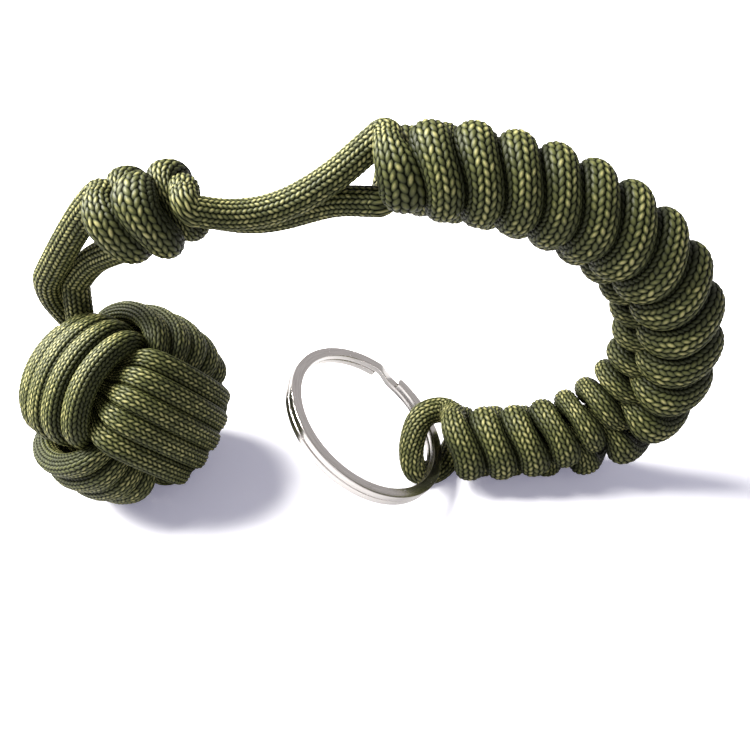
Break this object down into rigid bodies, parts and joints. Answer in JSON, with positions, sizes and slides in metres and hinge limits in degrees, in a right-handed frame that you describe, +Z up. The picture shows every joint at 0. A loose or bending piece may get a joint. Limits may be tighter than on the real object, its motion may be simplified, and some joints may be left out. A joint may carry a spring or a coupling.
{
  "type": "monkey fist knot",
  "caption": "Cord-wound ball on a short doubled neck with a stopper knot, joined to a bent snake-knot sinnet whose end loop holds a split ring.",
  "frame": {"origin": "on the surface it stands on, below the middle of its bounding box", "axes": "+Z up; the sinnet's arch stands in the XZ plane with the ball towards -X; -Y faces the viewer of the picture"},
  "size_m": [0.1084, 0.0328, 0.0621],
  "materials": {
    "olive_cord": "braided nylon",
    "core_steel": "smooth ball",
    "ring_nickel": "nickel plated, lightly brushed"
  },
  "bodies": {
    "lower_run": {"sinnet_lower_front": "olive_cord", "sinnet_lower_back": "olive_cord", "sinnet_lower_bend_front": "olive_cord", "sinnet_lower_bend_back": "olive_cord", "ring_bight": "olive_cord"},
    "middle_run": {"sinnet_middle_front": "olive_cord", "sinnet_middle_back": "olive_cord", "sinnet_upper_bend_front": "olive_cord", "sinnet_upper_bend_back": "olive_cord"},
    "upper_run": {"sinnet_upper_front": "olive_cord", "sinnet_upper_back": "olive_cord", "neck_front": "olive_cord", "neck_back": "olive_cord"},
    "stopper_knot": {"stopper_front": "olive_cord", "stopper_back": "olive_cord", "fist_neck_front": "olive_cord", "fist_neck_back": "olive_cord"},
    "fist": {"fist_winding": "olive_cord", "core_ball": "core_steel"},
    "ring": {"split_ring": "ring_nickel"}
  },
  "joints": [
    {"name": "sinnet_bend", "type": "hinge", "parent": "lower_run", "child": "middle_run", "pos_m": [0.04243, 0.00011, 0.01306], "axis": [0, 1, 0], "range_deg": [-12, 12], "deforming": ["sinnet_lower_bend_front", "sinnet_lower_bend_back"]},
    {"name": "sinnet_bend_upper", "type": "hinge", "parent": "middle_run", "child": "upper_run", "pos_m": [0.03475, 0.00011, 0.04736], "axis": [0, 1, 0], "range_deg": [-12, 12], "deforming": ["sinnet_upper_bend_front", "sinnet_upper_bend_back"]},
    {"name": "neck_bend", "type": "hinge", "parent": "upper_run", "child": "stopper_knot", "pos_m": [-0.00901, 0.00131, 0.0494], "axis": [0, 1, 0], "range_deg": [-20, 20], "deforming": ["neck_front", "neck_back"]},
    {"name": "fist_swing", "type": "hinge", "parent": "stopper_knot", "child": "fist", "pos_m": [-0.04451, 0.00641, 0.0348], "axis": [0, 1, 0], "range_deg": [-25, 25], "deforming": ["fist_neck_front", "fist_neck_back"]},
    {"name": "ring_swing", "type": "hinge", "parent": "lower_run", "child": "ring", "pos_m": [0.01269, 0.00131, 0.0052], "axis": [-0.1127, 0.9794, 0.1676], "range_deg": [-105, 40]}
  ],
  "couplings": [
    {"joint": "sinnet_bend_upper", "follows": "sinnet_bend", "ratio": 1}
  ]
}
